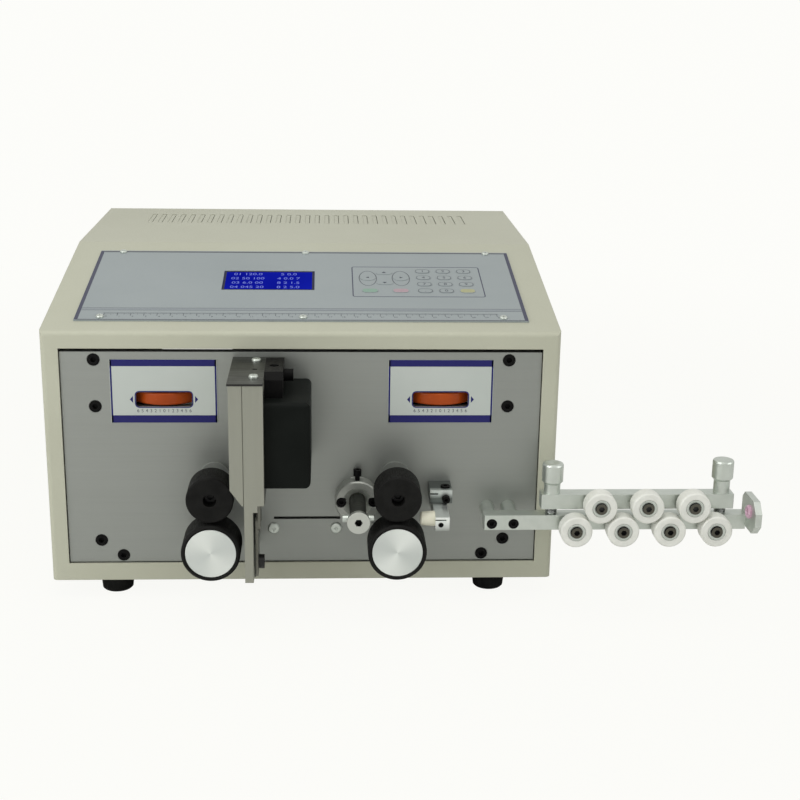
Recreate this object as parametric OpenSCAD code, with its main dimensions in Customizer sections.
// Wire cutting and stripping machine for the bench.
// Millimetres, +Z up, the operator stands on the -Y side.
// Inside the modules X = 0 is the middle of the case, Y = 0 its front edge and Z = 0 its bottom edge.

/* [Case] */
// Width of the case from side to side
case_w = 390; // [380:1:410]
// Depth of the case from front to back
case_d = 384; // [370:1:420]
// Height of the upright front
front_h = 199; // [196:1:210]
// Height of the flat top
top_h = 232; // [226:1:250]
// Depth of the sloped desk
slope_d = 192; // [188:1:205]
// Thickness of the folded sheet
sheet_t = 1.6; // [1.2:0.1:2]
// Outer radius of the folded edges
edge_r = 4; // [3:0.5:6]
// Width of the border at each side of the front plate
border_side = 13.4; // [11:0.2:15]
// Width of the border below the front plate
border_bottom = 13.9; // [12:0.1:15]
// Width of the border above the front plate
border_top = 12.8; // [11:0.1:15]
// Play between sheet parts that slide into each other
fit_gap = 0.2; // [0.1:0.05:0.4]

/* [Vents] */
// Number of slots in the row on the top
vent_count = 33; // [20:1:34]
// Distance from slot to slot
vent_pitch = 9.2; // [8:0.1:9.6]
// Width of a slot
vent_w = 4.4; // [3:0.1:5.5]
// Length of a slot
vent_len = 50; // [30:1:60]
// Distance from the row's middle to the back of the case
vent_back = 63; // [50:1:80]

/* [Feet] */
// Diameter of a rubber foot at the case
foot_d = 27; // [20:1:32]
// Diameter of a rubber foot at the floor
foot_tip_d = 24; // [18:1:28]
// Height of a rubber foot
foot_h = 15; // [10:0.5:20]
// Distance from a foot's axis to the case side
foot_inset_x = 47; // [30:1:60]
// Distance from a foot's axis to the case front or back
foot_inset_y = 22; // [20:1:40]

/* [Front plate] */
// Thickness of the front plate
plate_t = 8; // [7:0.5:9]
// Distance of the plate's face behind the case front
plate_set = 2; // [1.8:0.1:2.4]
// Gap round the plate at the sides and bottom
plate_gap = 0.5; // [0.3:0.1:0.8]
// Gap above the plate
plate_top_gap = 2.8; // [1:0.1:3.5]
// Distance from the outer screws to the plate's side edge
screw_inset = 25; // [20:0.5:28]
// Head diameter of the black plate screws
screw_head_d = 9; // [8:0.5:10]
// Head height of the black plate screws
screw_head_h = 4.5; // [3:0.5:6]
// Shank diameter of the black plate screws
screw_d = 5; // [4:0.5:6]
// Depth of the counterbores of the plate screws
screw_sink = 4; // [3:0.5:5]

/* [Desk] */
// Width of the control panel
panel_w = 345; // [330:1:350]
// Length of the control panel along the slope
panel_len = 150; // [145:1:155]
// Distance of the control panel from the front edge along the slope
panel_front = 20; // [17:1:24]
// Thickness of the control panel
panel_t = 1.2; // [0.8:0.1:2]
// Width of the display window
lcd_w = 74; // [70:1:78]
// Height of the display window along the slope
lcd_h = 42; // [38:1:44]
// Middle of the display from the case middle
lcd_x = -28.8; // [-35:0.1:-20]
// Middle of the display from the panel's lower edge
lcd_y = 83; // [80:1:88]
// Thickness of the display module
lcd_t = 9; // [6:0.5:12]
// Height of the embossed key fields
key_h = 0.4; // [0.2:0.1:0.6]
// Width of a number key
key_w = 12.5; // [11:0.5:14]
// Depth of a number key along the slope
key_d = 9; // [8:0.5:10]
// Distance between number keys across
key_pitch_x = 17; // [16:0.1:18]
// Distance between number keys along the slope
key_pitch_y = 14.3; // [13:0.1:14.6]

/* [Feed] */
// Distance of the wire line in front of the plate
wire_out = 45.5; // [44:0.5:47]
// Height of the wire line above the case bottom
wire_z = 67.2; // [66.5:0.1:68]
// Half the distance between the two roller pairs
roller_x = 69; // [68:0.5:70]
// Distance of the roller pairs' middle from the case middle
pair_shift = 1.5; // [1:0.1:2]
// Gap between the upper and lower roller at rest
roller_gap = 1.6; // [1.5:0.1:2.5]
// Diameter of an upper feed roller
upper_d = 35; // [33:0.5:36]
// Length of an upper feed roller
upper_len = 25; // [24:0.5:26]
// Bevel at the front edge of an upper roller
upper_bevel = 0.8; // [0.5:0.1:1.5]
// Diameter of a lower feed roller
lower_d = 43.8; // [42:0.2:45]
// Length of a lower feed roller
lower_len = 27; // [26:0.5:29]
// Distance of the rollers' back from the plate
roller_back = 31; // [30:0.5:33]
// Diameter of the bright disc on a lower roller
disc_d = 37.4; // [36:0.2:38.6]
// Thickness of the bright disc
disc_t = 2; // [1.5:0.1:3]
// Diameter of a drive spindle
spindle_d = 12; // [10:0.5:14]
// Diameter of the stub axle of an upper roller
stub_d = 8; // [7:0.5:9]
// Head diameter of the screw that keeps an upper roller
keeper_d = 9.2; // [9:0.1:10]
// Radial play of running shafts
run_gap = 0.06; // [0.03:0.01:0.09]
// Width of a feed or blade motor
motor_w = 42; // [39:0.5:42]
// Length of a feed motor
motor_len = 48; // [40:1:56]

/* [Roller adjusters] */
// Distance of each thumbwheel axis from the case side
wheel_inset = 90.5; // [89.5:0.1:91]
// Distance of the thumbwheels below the plate's upper edge
wheel_drop = 37; // [36.4:0.1:37.4]
// Diameter of a thumbwheel
wheel_d = 60; // [57:0.5:61]
// Thickness of a thumbwheel
wheel_t = 9.5; // [8:0.1:10]
// How far a thumbwheel stands out of the plate
wheel_proud = 1; // [0.5:0.1:1.5]
// Radius of a thumbwheel's edges
wheel_r = 1.6; // [1:0.1:2.4]
// Diameter of an adjusting screw
adjust_d = 8; // [7:0.5:9]
// Distance of the guide rod from the adjusting screw
rod_off = 22; // [20:0.5:24]
// Greatest drop of an upper roller
slide_down = 1; // [0.6:0.1:1.1]
// Greatest lift of an upper roller
slide_up = 6; // [4:0.5:8]
// Width of a gap label
label_w = 80; // [76:1:82]
// Height of a gap label
label_h = 49.5; // [47:0.5:50]
// Distance of a label's middle below the plate's upper edge
label_drop = 30.6; // [30:0.1:31.4]
// Thickness of a label
label_t = 0.5; // [0.3:0.1:0.6]
// Width of a label's window
window_w = 42; // [40:0.5:43]
// Height of a label's window
window_h = 11.5; // [11:0.1:12]

/* [Blade head] */
// Plane between the two blades, from the case middle
cut_x = -32.55; // [-33:0.05:-32]
// Thickness of a blade
blade_t = 1.8; // [1.5:0.1:2]
// Width of a blade
blade_w = 24; // [22:0.5:25]
// Distance of each blade's notch from the wire line when open
blade_open = 6; // [5:0.5:7]
// Depth of the V notch
notch_depth = 11; // [9:0.5:12]
// Half width of the V notch at its mouth
notch_half = 9; // [7:0.5:10]
// Travel of each blade
blade_travel = 8; // [6:0.5:8]
// Thickness of the upper carriage arm
upper_arm_t = 3.5; // [3:0.1:3.8]
// Thickness of the lower carriage arm
lower_arm_t = 3.9; // [3:0.1:4.2]
// Distance of the head's front from the plate
head_out = 74; // [73:0.5:76]
// Depth of the front bar of the head
bar_depth = 8; // [6:0.5:9]
// Left face of the head bar from the case middle
bar_left = -41.4; // [-42:0.1:-41]
// Width of the head bar
bar_w = 14.4; // [14:0.1:14.6]
// Width of the narrow post below the bar
post_w = 6.2; // [5:0.1:6.4]
// Distance of the head's top below the plate's upper edge
head_drop = 5.4; // [4.4:0.1:7.4]
// Height of the bar's lower end
bar_bottom = 88; // [86:0.5:92]
// Height of the narrow post's lower end
post_bottom = 28.4; // [27:0.1:29]
// Height of the foot and of the top beam of the frame
beam_h = 7.6; // [6:0.1:8]
// Width of the side cover
side_w = 10.1; // [9:0.1:11]
// Thickness of the side cover's sheet
side_t = 2; // [1.5:0.1:2.5]
// Thickness of the top cap
cap_t = 1.5; // [1:0.1:2]
// Width of the black blade cover
cover_w = 33.4; // [30:0.2:36]
// Depth of the black blade cover
cover_d = 67; // [62:0.5:69]
// Height of the black blade cover
cover_h = 63.8; // [60:0.2:66]
// Distance of the cover's lower edge below the head's top
cover_drop = 79; // [77:0.5:80]
// Wall of the black blade cover
cover_wall = 2.5; // [2:0.1:3]
// Corner radius of the black blade cover
cover_r = 4; // [3:0.5:6]

/* [Wire guide] */
// Middle of the guide post from the case middle
guide_x = 41.5; // [40.5:0.1:42]
// Diameter of the guide flange
guide_flange_d = 34; // [32:0.5:35]
// Thickness of the guide flange
guide_flange_t = 12; // [10:0.5:13]
// Diameter of the guide post
guide_post_d = 12.6; // [11:0.2:13]
// Diameter of the guide post's head
guide_head_d = 17; // [16:0.2:18]
// Thickness of the guide post's head
guide_head_t = 4; // [3:0.2:5]
// Diameter of the guide tube
tube_d = 5.6; // [5:0.1:6]
// Bore of the guide tube
tube_bore = 3.4; // [3:0.1:3.8]
// Length of the guide tube
tube_len = 23.6; // [20:0.2:24]

/* [Inlet guide] */
// Left face of the square bar from the case middle
inlet_x = 98.6; // [98:0.1:100]
// Width and height of the square bar
inlet_w = 10.6; // [10:0.1:11]
// Distance of the bar's front from the plate
inlet_out = 52; // [50.5:0.5:54]
// Height of the bar's lower face
inlet_z = 59.6; // [59:0.1:60.2]
// Width of the clamp block
block_w = 17; // [15:0.5:19]
// Depth of the clamp block
block_d = 22; // [18:0.5:26]
// Height of the clamp block
block_h = 10.4; // [8:0.2:12]
// Length of the white nozzle
nozzle_len = 11; // [8:0.5:12]
// Diameter of the white nozzle
nozzle_d = 11.4; // [10.4:0.2:12]
// Wire bore of nozzle and bar
nozzle_bore = 3.8; // [3:0.1:3.9]

/* [Straightener] */
// Distance of the first post from the case side
arm_inset = 52.3; // [50:0.1:55]
// Distance between the two posts
arm_pitch = 16.5; // [15:0.1:18]
// Diameter of a post
arm_post_d = 11; // [10:0.2:11.4]
// Distance of the bars' back from the plate
bar_back = 25; // [24:0.5:26]
// Depth of the bars
arm_bar_d = 12; // [11:0.5:13]
// Height of the bars
arm_bar_h = 11.6; // [11:0.1:12]
// Height of the lower bar's bottom
low_bar_z = 54.2; // [54:0.1:54.6]
// Gap between the bars at rest
bar_gap = 5; // [4.6:0.1:5.6]
// Distance of the lower bar's left end before the first post
low_bar_before = 6.1; // [5.6:0.1:7.6]
// Length of the lower bar
low_bar_len = 200.4; // [198:0.2:204]
// Distance of the upper bar's left end behind the first post
up_bar_after = 37; // [35.4:0.1:38.2]
// Length of the upper bar
up_bar_len = 146.8; // [145:0.2:149]
// Distance of the first lower roller behind the first post
roller_after = 62.1; // [60.4:0.1:63.2]
// Distance between straightener rollers
straight_pitch = 35.4; // [35:0.1:36]
// Diameter of a straightener roller
straight_d = 24; // [23:0.2:24.4]
// Width of a straightener roller
straight_w = 12; // [10:0.5:12.5]
// Diameter of the bearing seat in a roller's front
seat_d = 13.4; // [12:0.2:14]
// Depth of the bearing seat
seat_depth = 1.6; // [1:0.1:2.2]
// Diameter of a roller's axle
axle_d = 6; // [5:0.2:6.4]
// Height of the lower axles above the lower bar's bottom
low_axle_up = 3.6; // [3.5:0.1:4]
// Height of the upper axles above the upper bar's bottom
up_axle_up = 5.8; // [5:0.1:6.5]
// Distance between bar and roller
roller_stand = 3.5; // [3:0.1:4]
// Inset of each thumbscrew from the upper bar's end
thumb_inset = 8.5; // [8:0.1:10]
// Diameter of a thumbscrew head
thumb_d = 16; // [15:0.2:17]
// Height of a thumbscrew head
thumb_h = 14.2; // [12:0.2:15]
// Diameter of a thumbscrew neck
neck_d = 12.3; // [11:0.1:13]
// Height of a thumbscrew neck
neck_h = 9.4; // [8:0.2:11]
// How much higher the right thumbscrew stands
thumb_rise = 2.4; // [0:0.1:4]
// Diameter of a thumbscrew's stud
stud_d = 6; // [5:0.2:6.4]
// Thickness of the end plate
end_t = 5; // [4:0.2:6]
// Depth of the end plate
end_d = 35; // [33:0.5:38]
// Height of the end plate
end_h = 25.4; // [24:0.2:27]
// Height of the eyelet above the wire line
eyelet_up = 4.3; // [3:0.1:5]
// Outer diameter of the eyelet
eyelet_d = 10.5; // [10:0.5:13]
// Bore of the eyelet
eyelet_bore = 5; // [4.4:0.2:6]
// Length of the eyelet
eyelet_len = 10; // [9:0.5:12]
// Cut at the front corners of the end plate
end_cut = 7.6; // [6:0.2:9]

/* [Back] */
// Width of the mains module
mains_w = 58; // [52:1:64]
// Height of the mains module
mains_h = 30; // [28:1:36]
// Thickness of the mains module's flange
mains_t = 3; // [2:0.2:4]
// Depth of the mains module behind the panel
mains_deep = 26; // [24:1:30]
// Middle of the mains module from the case middle
mains_x = 120; // [100:1:130]
// Height of the mains module's middle
mains_z = 45; // [40:1:60]

/* [Hidden] */
$fn = 64;

// front plate
plate_y = plate_set;
plate_back = plate_set + plate_t;
plate_half = case_w / 2 - border_side - plate_gap;
plate_z0 = border_bottom + plate_gap;
plate_z1 = front_h - border_top - plate_top_gap;
screw_x = plate_half - screw_inset;
low_screw_x = screw_x - 16.5;
screw_rows = [plate_z1 - 6.2, plate_z1 - 42.6, plate_z0 + 18.1];
low_screw_z = plate_z0 + 5.6;
plate_screws = [for (s = [-1, 1]) each concat([for (z = screw_rows) [s * screw_x, z]],
    [[s * low_screw_x, low_screw_z]])];
bracket_t = 12;

// desk
slope_a = atan((top_h - front_h) / slope_d);
slope_len = slope_d / cos(slope_a);
panel_screws = [for (x = [-1, 0, 1], y = [5.5, panel_len - 2.5 - 1.5]) [x * 153.5, y]];
key_x0 = 97;
key_y0 = 61;
pad_x = 65;
pad_y = 89.5;

// feed
wire_y = plate_y - wire_out;
upper_z = wire_z + roller_gap / 2 + upper_d / 2;
lower_z = wire_z - roller_gap / 2 - lower_d / 2;
back_y = plate_y - roller_back;
upper_front = back_y - upper_len;
lower_front = back_y - lower_len;
disc_seat = 0.6;
keeper_h = 5;
keeper_deep = 9;
lip = 1.2;

// roller adjusters
wheel_x = case_w / 2 - wheel_inset;
wheel_z = plate_z1 - wheel_drop;
label_z = plate_z1 - label_drop;
wheel_y = plate_y - wheel_proud + wheel_d / 2;
lug_t = 8;
lug_low = 66;
lug_high = wheel_z - wheel_t / 2 - 5.5 - lug_t;
adj_left = wheel_x - 6;
adj_right = wheel_x + rod_off + 7.5;
web_y = wheel_y + 13;
web_t = 6;
slide_half = 9;
slide_rise = 14;

// blade head
head_top = plate_z1 - head_drop;
cover_z = head_top - cover_drop;
bar_right = bar_left + bar_w;
head_front = plate_y - head_out;
blade_front = wire_y - blade_w / 2;
blade_gap = 0.05;
arm_reach = wire_y - blade_w / 2 - 2.5;
carriage_half = 13.2;
screw_y = plate_back + 22;
guide_rod_d = 6;
guide_rod_x = 9.4;
lead_d = 10;
carriage_rise = 16;
upper_block_z = 96;
lower_block_z = post_bottom + beam_h + 2;
holder_low = post_bottom - 3;
holder_screw_z = post_bottom + 5.1;
drive_top = front_h - 45;
slot_play = 0.4;
seam = 0.5;
clamp_top = head_top + cap_t + 1.5;
clamp_w = 13.4;
upper_arm_x = cut_x + blade_gap + blade_t;
lower_arm_x = cut_x - blade_gap - blade_t - lower_arm_t;

// wire guide
guide_seat = guide_flange_d / 2 - 0.8;
clamp_rise = 3.8;
block_sink = 3.7;

// straightener
arm_x = case_w / 2 - arm_inset;
low_bar_x = arm_x - low_bar_before;
up_bar_x = arm_x + up_bar_after;
first_roller_x = arm_x + roller_after;
bars_back = plate_y - bar_back;
bars_front = bars_back - arm_bar_d;
bars_mid = bars_back - arm_bar_d / 2;
low_bar_top = low_bar_z + arm_bar_h;
up_bar_z = low_bar_top + bar_gap;
up_bar_top = up_bar_z + arm_bar_h;
low_axle_z = low_bar_z + low_axle_up;
up_axle_z = up_bar_z + up_axle_up;
arm_z = low_bar_z + arm_bar_h / 2 - 1;
axle_head_h = 2.6;
thumb_x = [up_bar_x + thumb_inset, up_bar_x + up_bar_len - thumb_inset];
sink = 4;
sink_d = 8;
roll_back = bars_front - roller_stand;
roll_front = roll_back - straight_w;
end_x = low_bar_x + low_bar_len;
eyelet_z = wire_z + eyelet_up;

// back
mains_back = case_d + mains_t;
rocker_w = 15;
rocker_h = 21;
rocker_tilt = 9;

// the bottom middle of everything is the origin
shift_x = (case_w / 2 - (end_x + end_t + (eyelet_len - end_t) / 2)) / 2;
shift_y = -(head_front - 1 + mains_back) / 2;

module frame() {
    translate([shift_x, shift_y, foot_h]) children();
}

module block(x0, x1, y0, y1, z0, z1) {
    translate([x0, y0, z0]) cube([x1 - x0, y1 - y0, z1 - z0]);
}

module rod_x(d, x0, x1) {
    translate([x0, 0, 0]) rotate([0, 90, 0]) cylinder(d = d, h = x1 - x0);
}

module rod_y(d, y0, y1) {
    translate([0, y1, 0]) rotate([90, 0, 0]) cylinder(d = d, h = y1 - y0);
}

module rod_z(d, z0, z1) {
    translate([0, 0, z0]) cylinder(d = d, h = z1 - z0);
}

// prism along X from a profile in Y and Z
module along_x(x0, x1) {
    translate([x0, 0, 0]) rotate([90, 0, 90]) linear_extrude(x1 - x0) children();
}

// prism along Y from a profile in X and Z
module along_y(y0, y1) {
    translate([0, y1, 0]) rotate([90, 0, 0]) linear_extrude(y1 - y0) children();
}

// slot with round ends, lying flat and long in Y
module long_slot(w, l, h) {
    translate([-w / 2, -(l - w) / 2, 0]) cube([w, l - w, h]);
    for (s = [-1, 1]) translate([0, s * (l - w) / 2, 0]) cylinder(d = w, h = h);
}

module on_slope() {
    translate([0, 0, front_h]) rotate([slope_a, 0, 0]) children();
}

module on_panel() {
    on_slope() translate([0, panel_front, 0]) children();
}

// hexagon socket head with its shank along -Z below the head
module socket_screw(head_d, head_h, shank_d, shank) {
    difference() {
        union() {
            cylinder(d = head_d, h = head_h);
            translate([0, 0, -shank]) cylinder(d = shank_d, h = shank);
        }
        translate([0, 0, head_h - head_h * 0.6]) cylinder(d = head_d * 0.55, h = head_h, $fn = 6);
    }
}

// headless screw with a hexagon socket
module grub_screw(d, h) {
    difference() {
        cylinder(d = d, h = h);
        translate([0, 0, h * 0.4]) cylinder(d = d * 0.55, h = h, $fn = 6);
    }
}

// pan head with its shank along -Z below the head
module pan_screw(head_d, head_h, shank_d, shank) {
    slot = head_d * 0.09;
    cross = head_d * 0.17;
    difference() {
        rotate_extrude() polygon([[0, -shank], [shank_d / 2, -shank], [shank_d / 2, 0], [head_d / 2, 0],
            [head_d / 2, head_h * 0.5], [head_d * 0.42, head_h * 0.9], [0, head_h]]);
        for (a = [0, 90]) rotate([0, 0, a]) translate([-cross, -slot / 2, head_h * 0.6])
            cube([2 * cross, slot, head_h]);
    }
}

function pair_at(s) = s * roller_x + pair_shift;

module facing_front() {
    rotate([90, 0, 0]) children();
}

function arc(cy, cz, r, a0, a1, n = 8) =
    [for (i = [0 : n]) let (a = a0 + (a1 - a0) * i / n) [cy + r * cos(a), cz + r * sin(a)]];

// side outline of the case, moved inwards by d, running on to lower and behind past its edges
function outline(d, lower, behind) =
    let (turn = 90 - slope_a, t = edge_r * tan(turn / 2))
    concat([[d, lower]], arc(edge_r, front_h - t, edge_r - d, 180, 90 + slope_a),
        [[slope_d + d * tan(slope_a / 2), top_h - d]],
        behind > 0 ? [[case_d + behind, top_h - d], [case_d + behind, lower]]
            : concat(arc(case_d - edge_r, top_h - edge_r, edge_r, 90, 0), [[case_d, lower]]));

// pressed tongue that hangs below a slot of the top
module louvre() {
    under = top_h - sheet_t;
    root = vent_w / 2 + 0.7;
    run = (vent_len - vent_w) / 2;
    along_y(-run, run) polygon([[root, under + 0.5], [root, under - 0.7], [-vent_w / 2 - 0.2, under - 3.4],
        [-vent_w / 2 - 0.2, under - 2.4], [vent_w / 2, under + 0.5]]);
}

module case_shell() {
    color([0.76, 0.75, 0.66]) union() {
        sheet_case();
        for (i = [0 : vent_count - 1])
            translate([(i - (vent_count - 1) / 2) * vent_pitch, case_d - vent_back, 0]) louvre();
    }
}

// folded cover with its openings
module sheet_case() {
    difference() {
        intersection() {
            along_x(-case_w / 2, case_w / 2) polygon(outline(0, 0, 0));
            union() {
                block(-case_w / 2 + edge_r, case_w / 2 - edge_r, -1, case_d + 1, -1, top_h + 1);
                block(-case_w / 2 - 1, case_w / 2 + 1, edge_r, case_d + 1, -1, top_h + 1);
                for (s = [-1, 1]) translate([s * (case_w / 2 - edge_r), edge_r, 0])
                    rod_z(2 * edge_r, -1, top_h + 1);
            }
        }
        along_x(-case_w / 2 + sheet_t, case_w / 2 - sheet_t) polygon(outline(sheet_t, -1, 1));
        block(-case_w / 2 + border_side, case_w / 2 - border_side, -1, edge_r + sheet_t,
            border_bottom, front_h - border_top);
        on_panel() translate([lcd_x - lcd_w / 2 - fit_gap, lcd_y - lcd_h / 2 - fit_gap, -2 * sheet_t])
            cube([lcd_w + 2 * fit_gap, lcd_h + 2 * fit_gap, 4 * sheet_t]);
        for (p = panel_screws) on_panel() translate([p[0], p[1], -2 * sheet_t])
            cylinder(d = 3, h = 4 * sheet_t);
        for (i = [0 : vent_count - 1])
            translate([(i - (vent_count - 1) / 2) * vent_pitch, case_d - vent_back, top_h - 2 * sheet_t])
                long_slot(vent_w, vent_len, 4 * sheet_t);
    }
}

module base_pan() {
    half = case_w / 2 - sheet_t - fit_gap;
    y0 = sheet_t + fit_gap;
    y1 = case_d - sheet_t - 2 * fit_gap;
    color([0.7, 0.71, 0.72]) difference() {
        union() {
            block(-half, half, y0, y1, 0, sheet_t);
            for (s = [-1, 1]) block(s > 0 ? half - sheet_t : -half, s > 0 ? half : sheet_t - half,
                y0, y1, 0, 14);
        }
        for (x = [-1, 1], y = [foot_inset_y, case_d - foot_inset_y])
            translate([x * (case_w / 2 - foot_inset_x), y, -1]) cylinder(d = 5, h = 4 * sheet_t);
    }
}

module rear_panel() {
    half = case_w / 2 - sheet_t - fit_gap;
    color([0.76, 0.75, 0.66]) difference() {
        block(-half, half, case_d - sheet_t, case_d, 0, top_h - sheet_t - fit_gap);
        block(mains_x - mains_w / 2 + 4, mains_x + mains_w / 2 - 4, case_d - 2 * sheet_t, case_d + 1,
            mains_z - mains_h / 2 + 3, mains_z + mains_h / 2 - 3);
        for (i = [0 : 9]) block(-150, -60, case_d - 2 * sheet_t, case_d + 1, 60 + i * 9, 63 + i * 9);
    }
}

module rubber_feet() {
    color([0.05, 0.05, 0.05])
    for (x = [-1, 1], y = [foot_inset_y, case_d - foot_inset_y])
        translate([x * (case_w / 2 - foot_inset_x), y, 0]) rotate_extrude()
            polygon([[0, -foot_h], [foot_tip_d / 2 - 1, -foot_h], [foot_tip_d / 2, 1 - foot_h],
                [foot_d / 2, 0], [2.5, 0], [2.5, sheet_t], [0, sheet_t]]);
}

module front_plate() {
    slot_w = stub_d + 2 * slot_play;
    color([0.5, 0.52, 0.52]) difference() {
        block(-plate_half, plate_half, plate_y, plate_back, plate_z0, plate_z1);
        for (s = [-1, 1]) {
            translate([pair_at(s), 0, lower_z]) rod_y(spindle_d + 2 * run_gap, 0, plate_back + 1);
            for (z = [upper_z - slide_down, upper_z + slide_up])
                translate([pair_at(s), 0, z]) rod_y(slot_w, 0, plate_back + 1);
            block(pair_at(s) - slot_w / 2, pair_at(s) + slot_w / 2, 0, plate_back + 1,
                upper_z - slide_down, upper_z + slide_up);
            block(s * wheel_x - window_w / 2 - 2.5, s * wheel_x + window_w / 2 + 2.5, 0, plate_back + 1,
                wheel_z - window_h / 2 - 0.5, wheel_z + window_h / 2 + 0.5);
        }
        block(upper_arm_x - slot_play, upper_arm_x + upper_arm_t + slot_play, 0, plate_back + 1,
            upper_block_z - blade_travel - slot_play, upper_block_z + carriage_rise + slot_play);
        block(lower_arm_x - slot_play, lower_arm_x + lower_arm_t + slot_play, 0, plate_back + 1,
            lower_block_z - slot_play, lower_block_z + carriage_rise + blade_travel + slot_play);
        translate([guide_x, 0, wire_z]) rod_y(guide_post_d + 2 * run_gap, 0, plate_back + 1);
        block(-22.9, 28.5, 0, plate_back + 1, 49.4, 51.4);
        for (p = plate_screws) translate([p[0], 0, p[1]]) {
            rod_y(screw_d, 0, plate_back + 1);
            rod_y(screw_head_d + 0.6, 0, plate_y + screw_sink);
        }
        for (x = [-23, 25.3]) translate([x, 0, 42]) rod_y(4, 0, plate_back + 1);
        for (x = [arm_x, arm_x + arm_pitch]) translate([x, 0, arm_z]) rod_y(5, 0, plate_back + 1);
    }
}

module socket_screws() {
    color([0.06, 0.06, 0.06]) {
        for (p = plate_screws) translate([p[0], plate_y + screw_sink, p[1]]) facing_front()
            socket_screw(screw_head_d, screw_head_h, screw_d, plate_t + 8 - screw_sink);
        for (x = [arm_x, arm_x + arm_pitch]) translate([x, bars_front + sink, arm_z]) facing_front()
            socket_screw(sink_d, sink - 0.4, 4, arm_bar_d - sink);
        for (s = [-1, 1]) translate([guide_x + s * 12.2, plate_y - guide_flange_t + 5, wire_z])
            facing_front() socket_screw(7.4, 4, 4, guide_flange_t - 5);
        translate([guide_x, plate_y - guide_flange_t / 2, wire_z + guide_seat])
            translate([0, 0, clamp_rise]) socket_screw(6.2, 5, 3.6, 8 + clamp_rise);
        translate([inlet_x + 10, plate_y - block_d + 8, inlet_z + inlet_w + block_h - block_sink])
            socket_screw(7, 5, 4, block_h - block_sink);
        translate([inlet_x + 4.2, plate_y - inlet_out + 4, inlet_z + 4.6]) facing_front()
            grub_screw(4, 3.4);
        translate([inlet_x + 10, plate_y - block_d, inlet_z + inlet_w + 4]) facing_front()
            socket_screw(6, 4, 4, 4);
        translate([bar_right + clamp_w / 2, plate_y - 30, clamp_top - 5]) socket_screw(7, 4, 4, 8);
        translate([bar_right + clamp_w, plate_y - 22, cover_z + cover_h + 9]) rotate([0, 90, 0])
            socket_screw(9, 7, 4, 6);
        for (i = [0 : 3]) translate([first_roller_x + i * straight_pitch, 0, low_axle_z])
            axle_screw();
        translate([end_x + end_t, bars_mid, low_bar_z + arm_bar_h / 2]) rotate([0, 90, 0])
            socket_screw(7, 2.4, 4, end_t + 8);
    }
}

// shoulder screw of a straightener roller, its head in the bearing seat
module axle_screw() {
    seat = roller_stand + straight_w - seat_depth;
    translate([0, bars_front, 0]) rotate([90, 0, 0]) difference() {
        union() {
            cylinder(d = axle_d + 3.4, h = roller_stand - 0.3);
            cylinder(d = axle_d, h = seat + 0.3);
            translate([0, 0, -8]) cylinder(d = axle_d - 1, h = 8);
            translate([0, 0, seat + 0.3]) cylinder(d = axle_d + 2.4, h = axle_head_h);
        }
        translate([0, 0, seat + 1]) cylinder(d = 4.6, h = axle_head_h, $fn = 6);
    }
}

module pan_screws() {
    color([0.8, 0.8, 0.78]) {
        for (x = [-23, 25.3]) translate([x, plate_y, 42]) facing_front() pan_screw(8.9, 1.8, 4, plate_t);
        for (p = panel_screws) on_panel() translate([p[0], p[1], panel_t])
            pan_screw(6, 1.8, 3, panel_t + sheet_t);
        for (y = [12, 58]) translate([bar_left + bar_w / 2, plate_y - y, head_top + cap_t])
            pan_screw(7, 2.4, 3, cap_t + 5);
    }
}

module chassis_brackets() {
    z0 = sheet_t;
    color([0.66, 0.67, 0.68])
    for (s = [-1, 1]) difference() {
        union() {
            block(s * screw_x - bracket_t / 2, s * screw_x + bracket_t / 2, plate_back, plate_back + 70,
                z0, plate_z1);
            block(min(s * (screw_x - 22), s * screw_x), max(s * (screw_x - 22), s * screw_x), plate_back,
                plate_back + 70, z0, plate_z0 + 12);
        }
        for (z = screw_rows) translate([s * screw_x, 0, z]) rod_y(screw_d, 0, plate_back + 8);
        translate([s * low_screw_x, 0, low_screw_z]) rod_y(screw_d, 0, plate_back + 8);
        translate([s * screw_x - bracket_t, plate_back + 45, 100]) rod_x(60, 0, 2 * bracket_t);
        translate([s * screw_x - bracket_t, plate_back + 70, plate_z1]) rotate([45, 0, 0])
            cube([2 * bracket_t, 60, 60], center = true);
    }
}

// one key field: a bar with round ends
module key_field(w, d, h) {
    translate([-(w - d) / 2, -d / 2, 0]) cube([w - d, d, h]);
    for (s = [-1, 1]) translate([s * (w - d) / 2, 0, 0]) cylinder(d = d, h = h, $fn = 32);
}

module control_panel() {
    half = panel_w / 2;
    color([0.62, 0.65, 0.68]) difference() {
        on_panel() union() {
            translate([-half, 0, 0]) cube([panel_w, panel_len, panel_t]);
            for (i = [0 : 2], j = [0 : 3])
                translate([key_x0 + i * key_pitch_x, key_y0 + j * key_pitch_y, 0])
                    key_field(key_w, key_d, panel_t + key_h);
            for (s = [-1, 1]) {
                translate([pad_x + s * 12.4, key_y0, 0]) key_field(13, 8, panel_t + key_h);
                translate([pad_x + s * 13.5, pad_y, 0]) cylinder(d = 13, h = panel_t + key_h, $fn = 32);
                translate([pad_x, pad_y + s * 11.2, 0]) key_field(14, 8, panel_t + key_h);
            }
        }
        on_panel() translate([lcd_x - lcd_w / 2, lcd_y - lcd_h / 2, -1]) cube([lcd_w, lcd_h, panel_t + 2]);
        for (p = panel_screws) on_panel() translate([p[0], p[1], -1]) cylinder(d = 3, h = panel_t + 2);
    }
}

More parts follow.
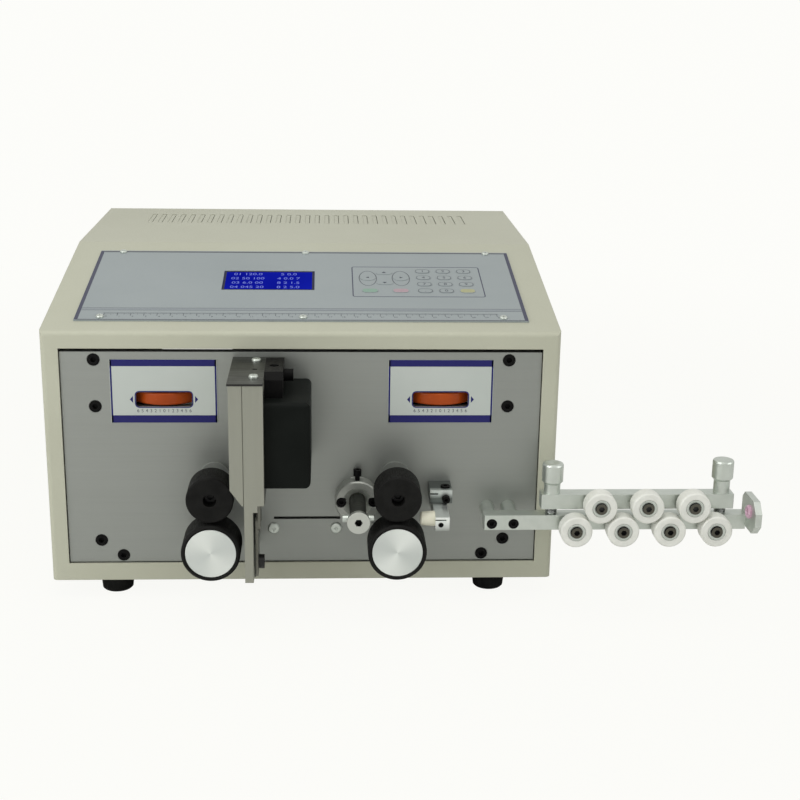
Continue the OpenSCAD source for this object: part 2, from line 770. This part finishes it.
module lcd_module() {
    color([0.05, 0.1, 0.6]) on_panel() union() {
        translate([lcd_x - lcd_w / 2, lcd_y - lcd_h / 2, -lcd_t]) cube([lcd_w, lcd_h, lcd_t + panel_t - 0.3]);
        translate([lcd_x - lcd_w / 2 - 9, lcd_y - lcd_h / 2 - 10, -lcd_t - 1.6])
            cube([lcd_w + 18, lcd_h + 20, 1.6]);
        for (x = [-1, 1], y = [-1, 1])
            translate([lcd_x + x * (lcd_w / 2 + 5), lcd_y + y * (lcd_h / 2 + 6), -lcd_t])
                cylinder(d = 5, h = lcd_t - sheet_t);
    }
}

module control_board() {
    color([0.1, 0.35, 0.16]) on_panel() union() {
        translate([32, 45, -16]) cube([112, 80, 1.6]);
        for (x = [38, 138], y = [51, 119]) translate([x, y, -16]) cylinder(d = 6, h = 16 - sheet_t);
        translate([60, 60, -20]) cube([50, 30, 4]);
    }
}

module gap_labels() {
    color([0.85, 0.86, 0.85])
    for (s = [-1, 1]) difference() {
        block(s * wheel_x - label_w / 2, s * wheel_x + label_w / 2, plate_y - label_t, plate_y,
            label_z - label_h / 2, label_z + label_h / 2);
        translate([s * wheel_x, 0, wheel_z]) rotate([90, 90, 0]) translate([0, 0, -plate_y - 1])
            long_window();
    }
}

// label window with rounded corners
module long_window() {
    r = 2;
    w = window_h - 2 * r;
    l = window_w - 2 * r;
    translate([-w / 2, -window_w / 2, 0]) cube([w, window_w, 4]);
    translate([-window_h / 2, -l / 2, 0]) cube([window_h, l, 4]);
    for (x = [-1, 1], y = [-1, 1]) translate([x * w / 2, y * l / 2, 0]) cylinder(r = r, h = 4, $fn = 32);
}

// square motor body with cut corners, its axis along Z
module motor_body(len, bore) {
    half = motor_w / 2;
    cut = motor_w * 0.12;
    difference() {
        linear_extrude(len) polygon([[cut - half, -half], [half - cut, -half], [half, cut - half],
            [half, half - cut], [half - cut, half], [cut - half, half], [-half, half - cut],
            [-half, cut - half]]);
        translate([0, 0, -1]) cylinder(d = bore, h = len * 0.8 + 1);
    }
}

module feed_motors() {
    color([0.12, 0.12, 0.13])
    for (s = [-1, 1]) translate([pair_at(s), plate_back, lower_z]) rotate([-90, 0, 0])
        motor_body(motor_len, spindle_d + 2 * run_gap);
}

module blade_motor() {
    color([0.12, 0.12, 0.13]) translate([cut_x, screw_y, drive_top]) motor_body(40, lead_d + 2 * run_gap);
}

module power_supply() {
    x0 = -case_w / 2 + 45;
    y1 = case_d - 64;
    color([0.6, 0.62, 0.63]) difference() {
        block(x0, x0 + 110, y1 - 120, y1, sheet_t, 52);
        for (i = [0 : 8]) block(x0 + 10 + i * 11, x0 + 14 + i * 11, y1 - 105, y1 - 15, 46, 60);
    }
}

module mains_inlet() {
    wall_y = case_d - mains_deep;
    inlet_left = mains_x - mains_w / 2 + 6;
    rocker_x = mains_x + mains_w / 2 - 13;
    color([0.07, 0.07, 0.07]) difference() {
        union() {
            block(mains_x - mains_w / 2, mains_x + mains_w / 2, case_d, mains_back,
                mains_z - mains_h / 2, mains_z + mains_h / 2);
            block(mains_x - mains_w / 2 + 4, mains_x + mains_w / 2 - 4, wall_y, case_d,
                mains_z - mains_h / 2 + 3, mains_z + mains_h / 2 - 3);
        }
        difference() {
            block(inlet_left, inlet_left + 24, wall_y + 4, mains_back + 1, mains_z - 8.2, mains_z + 8.2);
            for (i = [-1, 0, 1]) block(inlet_left + 11 + i * 7, inlet_left + 13 + i * 7, wall_y,
                case_d - 4, mains_z - (i == 0 ? 1 : 3) - 1, mains_z - (i == 0 ? 1 : 3) + 3);
        }
        block(rocker_x - rocker_w / 2 - 0.3, rocker_x + rocker_w / 2 + 0.3, case_d - 14, mains_back + 1,
            mains_z - rocker_h / 2 - 0.3, mains_z + rocker_h / 2 + 0.3);
    }
}

// rocker with a bent face, tipped to its off side
module power_switch() {
    rocker_x = mains_x + mains_w / 2 - 13;
    half = rocker_h / 2 - 0.6;
    x0 = rocker_x - rocker_w / 2;
    x1 = rocker_x + rocker_w / 2;
    color([0.62, 0.06, 0.05]) translate([0, case_d - 3, mains_z]) rotate([rocker_tilt, 0, 0]) union() {
        along_x(x0, x1) polygon([[-5, -3], [-5, 3], [2, half - 1], [6, half - 1], [3.6, 0], [6, 1 - half],
            [2, 1 - half]]);
        rod_x(4, x0 - 0.25, x1 + 0.25);
    }
}

module head_frame() {
    color([0.62, 0.61, 0.56]) difference() {
        union() {
            block(bar_left, bar_right, head_front, head_front + bar_depth, bar_bottom, head_top);
            block(bar_left, bar_left + post_w, head_front, head_front + bar_depth, post_bottom, bar_bottom);
            block(bar_left, bar_left + post_w, head_front, plate_y, post_bottom, post_bottom + beam_h);
            block(bar_left, bar_right, head_front, plate_y, head_top - beam_h, head_top);
            block(bar_left, bar_left + 9.6, head_front, head_front + bar_depth, bar_bottom - 5, bar_bottom);
        }
        block(lower_arm_x - slot_play / 2, bar_left + post_w + 1, arm_reach - 0.6,
            wire_y + blade_w / 2 + 0.6, post_bottom - 1, post_bottom + beam_h + 1);
        for (y = [12, 58]) translate([bar_left + bar_w / 2, plate_y - y, 0])
            rod_z(3, head_top - 5, head_top + 1);
    }
}

module head_side_cover() {
    x0 = bar_left - side_w;
    color([0.62, 0.61, 0.56]) union() {
        along_y(head_front + side_t / 2, head_front + side_t)
            polygon([[bar_left, bar_bottom], [bar_left, head_top], [x0, head_top], [x0, bar_bottom + 12],
                [bar_left - 1.5, bar_bottom]]);
        along_y(head_front, head_front + side_t / 2)
            polygon([[bar_left - seam, bar_bottom], [bar_left - seam, head_top], [x0, head_top],
                [x0, bar_bottom + 12], [bar_left - 1.5, bar_bottom]]);
        along_x(x0, x0 + side_t)
            polygon([[head_front, bar_bottom + 12], [head_front, head_top], [plate_y, head_top],
                [plate_y, bar_bottom + 12]]);
    }
}

module head_cap() {
    x0 = bar_left - side_w - 0.8;
    color([0.35, 0.34, 0.3]) difference() {
        union() {
            block(x0, bar_right, head_front - 1, plate_y, head_top, head_top + cap_t);
            block(x0, bar_right + clamp_w, plate_y - 7, plate_y, head_top, head_top + cap_t);
        }
        for (y = [12, 58]) translate([bar_left + bar_w / 2, plate_y - y, 0])
            rod_z(3, head_top - 1, head_top + cap_t + 1);
        translate([bar_left + bar_w / 2, plate_y - 35, 0]) rod_z(4, head_top - 1, head_top + cap_t + 1);
    }
}

// box whose right and front top edges and front right edge are rounded
module guard_form(x0, x1, y0, y1, z0, z1, r) {
    intersection() {
        along_y(y0, y1) polygon(concat([[x0, z0]], arc(x1 - r, z0 + r, r, -90, 0),
            arc(x1 - r, z1 - r, r, 0, 90), [[x0, z1]]));
        along_x(x0, x1) polygon(concat([[y1, z0], [y1, z1]], arc(y0 + r, z1 - r, r, 90, 180), [[y0, z0]]));
        translate([0, 0, z0]) linear_extrude(z1 - z0) polygon(concat([[x0, y1], [x0, y0]],
            arc(x1 - r, y0 + r, r, -90, 0), [[x1, y1]]));
    }
}

module blade_cover() {
    x0 = bar_right;
    x1 = x0 + cover_w;
    y0 = plate_y - cover_d;
    z1 = cover_z + cover_h;
    color([0.06, 0.06, 0.06]) difference() {
        guard_form(x0, x1, y0, plate_y, cover_z, z1, cover_r);
        guard_form(x0 - 1, x1 - cover_wall, y0 + cover_wall, plate_y + 1, cover_z + cover_wall,
            z1 - cover_wall, cover_r - cover_wall + 0.5);
        translate([bar_right + clamp_w / 2, plate_y - 30, 0]) rod_z(4, z1 - 2 * cover_wall, z1 + 1);
    }
}

module cover_clamp() {
    z0 = cover_z + cover_h;
    x1 = bar_right + clamp_w;
    color([0.04, 0.04, 0.04]) difference() {
        block(bar_right, x1, plate_y - 52, plate_y - 8, z0, clamp_top);
        translate([bar_right + clamp_w / 2, plate_y - 30, 0]) {
            rod_z(7, clamp_top - 5, clamp_top + 1);
            rod_z(4, z0 - 1, clamp_top);
        }
        translate([x1 - 6, plate_y - 22, z0 + 9]) rod_x(4, 0, 7);
        along_x(bar_right - 1, x1 + 1) polygon([[plate_y - 53, clamp_top - 6], [plate_y - 46, clamp_top + 1],
            [plate_y - 53, clamp_top + 1]]);
    }
}

// top and bottom bearers of the blade drive with the two guide rods
module slide_frame() {
    x0 = cut_x - carriage_half;
    x1 = cut_x + carriage_half;
    color([0.6, 0.61, 0.62]) difference() {
        union() {
            block(x0, x1, plate_back, screw_y + 10, 16, 24);
            block(cut_x - motor_w / 2, cut_x + motor_w / 2, plate_back, screw_y + motor_w / 2,
                drive_top - 8, drive_top);
            for (s = [-1, 1]) translate([cut_x + s * guide_rod_x, screw_y, 0])
                rod_z(guide_rod_d, 20, drive_top - 4);
        }
        translate([cut_x, screw_y, 0]) {
            rod_z(lead_d + 2 * run_gap, 19, 30);
            rod_z(lead_d + 2 * run_gap, drive_top - 14, drive_top + 1);
        }
    }
}

module lead_screw() {
    color([0.7, 0.7, 0.68]) translate([cut_x, screw_y, 0]) rod_z(lead_d, 19.3, drive_top + 22);
}

// nut block that runs on the guide rods and the lead screw
module nut_block(z0) {
    difference() {
        block(cut_x - carriage_half, cut_x + carriage_half, screw_y - 10, screw_y + 10, z0,
            z0 + carriage_rise);
        for (s = [-1, 1]) translate([cut_x + s * guide_rod_x, screw_y, 0])
            rod_z(guide_rod_d + 2 * run_gap, z0 - 1, z0 + carriage_rise + 1);
        translate([cut_x, screw_y, 0]) rod_z(lead_d + 2 * run_gap, z0 - 1, z0 + carriage_rise + 1);
    }
}

module upper_carriage() {
    z0 = upper_block_z;
    pad = wire_z + 17;
    color([0.32, 0.32, 0.32]) {
        difference() {
            union() {
                nut_block(z0);
                along_x(upper_arm_x, upper_arm_x + upper_arm_t)
                    polygon([[screw_y - 9, z0], [screw_y - 9, z0 + carriage_rise],
                        [arm_reach + 8, z0 + carriage_rise], [arm_reach, z0 + carriage_rise - 8],
                        [arm_reach, pad], [wire_y + blade_w / 2, pad], [wire_y + blade_w / 2 + 8, z0]]);
            }
            translate([upper_arm_x - 1, wire_y, z0 - 3]) rod_x(4, 0, 8);
        }
        translate([upper_arm_x - blade_t, wire_y, z0 - 3]) rotate([0, -90, 0])
            socket_screw(7, 3.4, 4, blade_t + upper_arm_t);
    }
}

module lower_carriage() {
    z0 = lower_block_z;
    pad = z0 + carriage_rise - 2;
    color([0.32, 0.32, 0.32]) {
        difference() {
            union() {
                nut_block(z0);
                along_x(lower_arm_x, lower_arm_x + lower_arm_t)
                    polygon([[screw_y - 9, z0], [screw_y - 9, z0 + carriage_rise],
                        [wire_y + blade_w / 2 + 8, z0 + carriage_rise], [wire_y + blade_w / 2, pad],
                        [arm_reach, pad], [arm_reach, holder_low + 4], [arm_reach + 4, holder_low],
                        [wire_y + blade_w / 2, holder_low], [wire_y + blade_w / 2, z0]]);
            }
            translate([lower_arm_x - 1, wire_y, holder_screw_z]) rod_x(5, 0, 8);
        }
        translate([cut_x - blade_gap, wire_y, holder_screw_z]) rotate([0, 90, 0])
            socket_screw(10.6, 4.1, 5, blade_t + lower_arm_t);
    }
}

// blade outline in Y and height above the notch, with a V notch at the top
module blade_outline(below) {
    half = blade_w / 2;
    polygon([[-half, -below], [half, -below], [half, notch_depth - 2], [half - 1.5, notch_depth],
        [notch_half, notch_depth], [0, 0], [-notch_half, notch_depth], [1.5 - half, notch_depth],
        [-half, notch_depth - 2]]);
}

module upper_blade() {
    z0 = wire_z + blade_open;
    color([0.72, 0.73, 0.74]) difference() {
        translate([0, wire_y, z0]) mirror([0, 0, 1]) along_x(upper_arm_x - blade_t, upper_arm_x)
            blade_outline(26);
        translate([upper_arm_x - blade_t - 1, wire_y, upper_block_z - 3]) rod_x(4, 0, 8);
    }
}

module lower_blade() {
    z0 = wire_z - blade_open;
    color([0.72, 0.73, 0.74]) difference() {
        translate([0, wire_y, z0]) along_x(lower_arm_x + lower_arm_t, cut_x - blade_gap)
            blade_outline(z0 - holder_low - 1);
        translate([lower_arm_x, wire_y, holder_screw_z]) rod_x(5, 0, 10);
    }
}

// shaft with the bright disc that closes the lower roller's front
module drive_spindle(s) {
    front = lower_front + disc_seat;
    color([0.78, 0.79, 0.8]) translate([pair_at(s), 0, lower_z]) union() {
        rod_y(spindle_d, front, plate_back + motor_len * 0.8 - 1);
        rod_y(disc_d, front, front + disc_t);
    }
}

module lower_roller(s) {
    front = lower_front + disc_seat + disc_t;
    half = lower_d / 2;
    color([0.04, 0.04, 0.04]) translate([pair_at(s), back_y, lower_z]) rotate([90, 0, 0]) rotate_extrude()
        polygon([[spindle_d / 2, 0], [half - 1, 0], [half, 1], [half, lower_len - 1.2],
            [half - 1.2, lower_len], [disc_d / 2 + lip, lower_len], [disc_d / 2, lower_len - lip],
            [disc_d / 2, back_y - front],
            [spindle_d / 2, back_y - front]]);
}

module upper_roller(s) {
    half = upper_d / 2;
    bore = stub_d / 2 + run_gap;
    seat = keeper_d / 2 + 0.4;
    color([0.04, 0.04, 0.04]) translate([pair_at(s), back_y, upper_z]) rotate([90, 0, 0]) rotate_extrude()
        polygon([[bore, 0], [half - 1, 0], [half, 1], [half, upper_len - upper_bevel],
            [half - upper_bevel, upper_len], [seat, upper_len],
            [seat, upper_len - keeper_h - keeper_deep - 0.3],
            [bore, upper_len - keeper_h - keeper_deep - 0.3]]);
}

// nut slide behind the plate, with the stub axle, the washer over the slot and the roller's keeper
module roller_slide(s) {
    x0 = min(pair_at(s) - s * 6, s * adj_right);
    x1 = max(pair_at(s) - s * 6, s * adj_right);
    end = upper_front + keeper_h + keeper_deep;
    cover = 2 * (slide_up + stub_d / 2 + slot_play + 1);
    color([0.55, 0.56, 0.57]) difference() {
        union() {
            block(x0, x1, wheel_y - slide_half, wheel_y + slide_half, upper_z - slide_rise / 2,
                upper_z + slide_rise / 2);
            translate([pair_at(s), 0, upper_z]) {
                rod_y(stub_d, end, wheel_y - slide_half + 1);
                rod_y(keeper_d, end - keeper_h, end);
                rod_y(stub_d + 5, back_y + 0.3, back_y + 6);
                rod_y(cover, plate_y - 2.3, plate_y - 0.3);
            }
        }
        for (x = [wheel_x, wheel_x + rod_off]) translate([s * x, wheel_y, 0])
            rod_z(adjust_d + 2 * run_gap, upper_z - slide_rise, upper_z + slide_rise);
        translate([pair_at(s), end - keeper_h - 0.1, upper_z]) rotate([-90, 0, 0])
            cylinder(d = 5.6, h = 3.1, $fn = 6);
    }
}

module thumbwheel(s) {
    z0 = wheel_z - wheel_t / 2;
    edge = wheel_d / 2 - wheel_r;
    color([0.85, 0.35, 0.1]) translate([s * wheel_x, wheel_y, 0]) union() {
        translate([0, 0, z0]) rotate_extrude() polygon(concat([[0, 0]], arc(edge, wheel_r, wheel_r, -90, 0),
            arc(edge, wheel_t - wheel_r, wheel_r, 0, 90), [[wheel_d / 2 - 7, wheel_t],
            [wheel_d / 2 - 9, wheel_t - 2], [9, wheel_t - 2], [8, wheel_t], [0, wheel_t]]));
        rod_z(adjust_d, lug_low + 1, z0 + 1);
        rod_z(adjust_d + 6, lug_high + lug_t + 0.2, z0 + 1);
    }
}

// bearer of one thumbwheel screw, with its guide rod
module adjuster_brackets() {
    color([0.6, 0.61, 0.62])
    for (s = [-1, 1]) {
        x0 = min(s * adj_left, s * adj_right);
        x1 = max(s * adj_left, s * adj_right);
        difference() {
            union() {
                block(x0, x1, plate_back, web_y + web_t, lug_low, lug_low + lug_t);
                block(x0, x1, plate_back, web_y + web_t, lug_high, lug_high + lug_t);
                block(x0, x1, web_y, web_y + web_t, lug_low, lug_high + lug_t);
                translate([s * (wheel_x + rod_off), wheel_y, 0]) rod_z(adjust_d, lug_low + 1, lug_high + 1);
            }
            translate([s * wheel_x, wheel_y, 0]) {
                rod_z(adjust_d + 2 * run_gap, lug_low + 0.5, lug_low + lug_t + 1);
                rod_z(adjust_d + 2 * run_gap, lug_high - 1, lug_high + lug_t + 1);
            }
        }
    }
}

module guide_flange() {
    front = plate_y - guide_flange_t;
    color([0.75, 0.76, 0.76]) translate([guide_x, 0, wire_z]) difference() {
        union() {
            rod_y(guide_flange_d, front + 1, plate_y);
            translate([0, front + 1, 0]) rotate([90, 0, 0])
                cylinder(d1 = guide_flange_d, d2 = guide_flange_d - 2, h = 1);
        }
        rod_y(guide_post_d + 2 * run_gap, front - 1, plate_y + 1);
        translate([0, plate_y + 1, 0]) rotate([90, 0, 0]) translate([0, 0, guide_flange_t - 4])
            cylinder(d1 = guide_post_d, d2 = guide_post_d + 12, h = 6);
        block(-guide_flange_d, guide_flange_d, front - 1, plate_y + 1, -guide_flange_d, -11);
        for (x = [-12.2, 12.2]) translate([x, 0, 0]) {
            rod_y(4, front - 1, plate_y + 1);
            rod_y(8.4, front - 1, front + 5);
        }
        translate([0, plate_y - guide_flange_t / 2, 0]) {
            rod_z(3.6, guide_seat - 8, guide_seat + 2);
            block(-5, 5, -5, 5, guide_seat, guide_seat + 2);
        }
    }
}

module guide_post() {
    front = wire_y - 9.5;
    color([0.3, 0.31, 0.31]) translate([guide_x, 0, wire_z]) difference() {
        union() {
            rod_y(guide_post_d, front, plate_back);
            rod_y(guide_head_d, front, front + guide_head_t);
        }
        translate([0, front - 1, 0]) rotate([-90, 0, 0]) cylinder(d = 6, h = 5.5, $fn = 6);
        translate([0, wire_y, 0]) rod_x(tube_d, -guide_head_d, guide_head_d);
    }
}

module guide_tube() {
    color([0.85, 0.85, 0.84]) translate([guide_x, wire_y, wire_z]) difference() {
        rod_x(tube_d, -tube_len / 2, tube_len / 2);
        rod_x(tube_bore, -tube_len, tube_len);
    }
}

module inlet_clamp() {
    z0 = inlet_z + inlet_w;
    x0 = inlet_x - 2.1;
    color([0.8, 0.8, 0.78]) difference() {
        block(x0, x0 + block_w, plate_y - block_d, plate_y, z0, z0 + block_h);
        translate([inlet_x + 10, plate_y - block_d + 8, 0]) {
            rod_z(4, z0 - 1, z0 + block_h + 1);
            rod_z(7.6, z0 + block_h - block_sink, z0 + block_h + 1);
        }
        translate([inlet_x + 10, 0, z0 + 4]) rod_y(4, plate_y - block_d - 1, plate_y - block_d + 4);
        block(x0 - 1, inlet_x + 4, plate_y - block_d - 1, plate_y - block_d + 12, z0 + block_h - 3.4,
            z0 + block_h - 2.2);
    }
}

module inlet_bar() {
    color([0.8, 0.8, 0.78]) difference() {
        block(inlet_x, inlet_x + inlet_w, plate_y - inlet_out, plate_y, inlet_z, inlet_z + inlet_w);
        translate([inlet_x - 1, wire_y, wire_z]) rod_x(nozzle_bore, 0, inlet_w + 2);
        translate([inlet_x + 4.2, 0, inlet_z + 4.6])
            rod_y(4, plate_y - inlet_out - 1, plate_y - inlet_out + 4);
        block(inlet_x - 1, inlet_x + inlet_w - 2.4, plate_y - inlet_out - 1, wire_y, inlet_z + 7.9,
            inlet_z + 8.9);
    }
}

module inlet_nozzle() {
    half = nozzle_d / 2;
    color([0.9, 0.89, 0.83]) translate([inlet_x, wire_y, wire_z]) rotate([0, -90, 0]) rotate_extrude()
        polygon([[nozzle_bore / 2, 0], [half, 0], [half, 2], [half - 0.6, nozzle_len - 1],
            [half - 1.6, nozzle_len], [nozzle_bore / 2 + 1, nozzle_len], [nozzle_bore / 2, nozzle_len - 2]]);
}

module arm_posts() {
    color([0.78, 0.78, 0.76])
    for (x = [arm_x, arm_x + arm_pitch]) translate([x, 0, arm_z]) union() {
        rod_y(arm_post_d, bars_back, plate_y);
        rod_y(5, plate_y, plate_back);
    }
}

module lower_bar() {
    r = 1.5;
    color([0.78, 0.78, 0.76]) difference() {
        union() {
            block(low_bar_x + r, end_x, bars_front, bars_back, low_bar_z, low_bar_top);
            block(low_bar_x, end_x, bars_front + r, bars_back - r, low_bar_z, low_bar_top);
            for (y = [bars_front + r, bars_back - r]) translate([low_bar_x + r, y, 0])
                rod_z(2 * r, low_bar_z, low_bar_top);
        }
        for (x = [arm_x, arm_x + arm_pitch]) translate([x, 0, arm_z]) {
            rod_y(4, bars_front - 1, bars_back + 1);
            rod_y(sink_d, bars_front - 1, bars_front + sink);
        }
        translate([0, bars_mid, low_bar_z + arm_bar_h / 2]) rod_x(4, end_x - 8, end_x + 1);
        for (i = [0 : 3]) translate([first_roller_x + i * straight_pitch, 0, low_axle_z])
            rod_y(axle_d - 1, bars_front - 1, bars_front + 8);
        for (x = thumb_x) translate([x, bars_mid, 0])
            rod_z(stud_d + 2 * run_gap, low_bar_z - 1, low_bar_top + 1);
    }
}

module upper_bar() {
    color([0.78, 0.78, 0.76]) union() {
        difference() {
            block(up_bar_x, up_bar_x + up_bar_len, bars_front, bars_back, up_bar_z, up_bar_top);
            for (x = thumb_x) translate([x, bars_mid, 0])
                rod_z(stud_d + 2 * run_gap, up_bar_z - 1, up_bar_top + 1);
        }
        for (i = [0 : 2]) translate([first_roller_x + (i + 0.5) * straight_pitch, 0, up_axle_z]) axle_screw();
    }
}

module thumbscrew(i) {
    rise = neck_h + i * thumb_rise;
    color([0.8, 0.8, 0.78]) translate([thumb_x[i], bars_mid, 0]) union() {
        rod_z(stud_d, low_bar_z, up_bar_top + 1);
        translate([0, 0, up_bar_top + 0.05]) rotate_extrude() polygon([[0, 0], [neck_d / 2, 0],
            [neck_d / 2, rise - 2], [thumb_d / 2, rise], [thumb_d / 2, rise + thumb_h - 1.6],
            [thumb_d / 2 - 0.5, rise + thumb_h - 0.5], [thumb_d / 2 - 1.6, rise + thumb_h],
            [thumb_d / 2 - 3, rise + thumb_h], [0, rise + thumb_h - 0.8]]);
    }
}

// close coils round each thumbscrew, between the bars
module arm_springs() {
    turns = 4;
    wire = (bar_gap - 0.04) / turns;
    color([0.7, 0.71, 0.72])
    for (x = thumb_x) translate([x, bars_mid, low_bar_top]) for (i = [0 : turns - 1])
        translate([0, 0, (i + 0.5) * wire + 0.02]) rotate_extrude()
            translate([stud_d / 2 + 1, 0]) circle(d = wire + 0.02, $fn = 24);
}

// white roller with its bearing seat towards the operator
module straight_roller(x, z) {
    half = straight_d / 2;
    bore = axle_d / 2 + run_gap;
    color([0.92, 0.92, 0.9]) translate([x, roll_back, z]) rotate([90, 0, 0]) rotate_extrude()
        polygon([[bore, 0], [half - 0.8, 0], [half, 0.8], [half, straight_w - 1], [half - 1, straight_w],
            [seat_d / 2 + 0.4, straight_w], [seat_d / 2, straight_w - 0.4],
            [seat_d / 2, straight_w - seat_depth], [bore, straight_w - seat_depth]]);
}

module straight_low(i) {
    straight_roller(first_roller_x + (i - 1) * straight_pitch, low_axle_z);
}

module straight_up(i) {
    straight_roller(first_roller_x + (i - 0.5) * straight_pitch, up_axle_z);
}

module end_plate() {
    z0 = low_bar_z + 2.4;
    front = bars_back - end_d;
    z1 = z0 + end_h;
    color([0.7, 0.71, 0.7]) difference() {
        along_x(end_x, end_x + end_t) polygon([[front, z0 + end_cut], [front, z1 - end_cut],
            [front + end_cut, z1], [bars_back - 5, z1], [bars_back, z1 - 5], [bars_back, z0],
            [front + end_cut, z0]]);
        translate([0, wire_y, eyelet_z]) rod_x(eyelet_d - 4, end_x - 1, end_x + end_t + 1);
        translate([0, bars_mid, low_bar_z + arm_bar_h / 2]) rod_x(4, end_x - 1, end_x + end_t + 1);
    }
}

// ceramic wire eye with a flared mouth on each side
module eyelet() {
    half = eyelet_d / 2;
    neck = half - 2;
    bore = eyelet_bore / 2;
    out = (eyelet_len - end_t) / 2;
    color([0.86, 0.62, 0.6]) translate([end_x - out, wire_y, eyelet_z]) rotate([0, 90, 0]) rotate_extrude()
        polygon([[bore + 1.2, 0], [half - 1, 0], [half, 1], [half, out], [neck, out], [neck, out + end_t],
            [half, out + end_t], [half, eyelet_len - 1], [half - 1, eyelet_len],
            [bore + 1.2, eyelet_len], [bore + 0.4, eyelet_len - 1], [bore, eyelet_len - 3], [bore, 3],
            [bore + 0.4, 1]]);
}

frame() case_shell();
frame() base_pan();
frame() rear_panel();
frame() rubber_feet();
frame() front_plate();
frame() socket_screws();
frame() pan_screws();
frame() chassis_brackets();
frame() control_panel();
frame() lcd_module();
frame() control_board();
frame() gap_labels();
frame() feed_motors();
frame() blade_motor();
frame() power_supply();
frame() mains_inlet();
frame() power_switch();
frame() head_frame();
frame() head_side_cover();
frame() head_cap();
frame() blade_cover();
frame() cover_clamp();
frame() slide_frame();
frame() lead_screw();
frame() upper_carriage();
frame() lower_carriage();
frame() upper_blade();
frame() lower_blade();
frame() drive_spindle(-1);  // drive_spindle_left
frame() drive_spindle(1);  // drive_spindle_right
frame() lower_roller(-1);  // lower_roller_left
frame() lower_roller(1);  // lower_roller_right
frame() upper_roller(-1);  // upper_roller_left
frame() upper_roller(1);  // upper_roller_right
frame() roller_slide(-1);  // roller_slide_left
frame() roller_slide(1);  // roller_slide_right
frame() thumbwheel(-1);  // thumbwheel_left
frame() thumbwheel(1);  // thumbwheel_right
frame() adjuster_brackets();
frame() guide_flange();
frame() guide_post();
frame() guide_tube();
frame() inlet_clamp();
frame() inlet_bar();
frame() inlet_nozzle();
frame() arm_posts();
frame() lower_bar();
frame() upper_bar();
frame() thumbscrew(0);  // thumbscrew_left
frame() thumbscrew(1);  // thumbscrew_right
frame() arm_springs();
frame() straight_low(1);  // straight_low_1
frame() straight_low(2);  // straight_low_2
frame() straight_low(3);  // straight_low_3
frame() straight_low(4);  // straight_low_4
frame() straight_up(1);  // straight_up_1
frame() straight_up(2);  // straight_up_2
frame() straight_up(3);  // straight_up_3
frame() end_plate();
frame() eyelet();
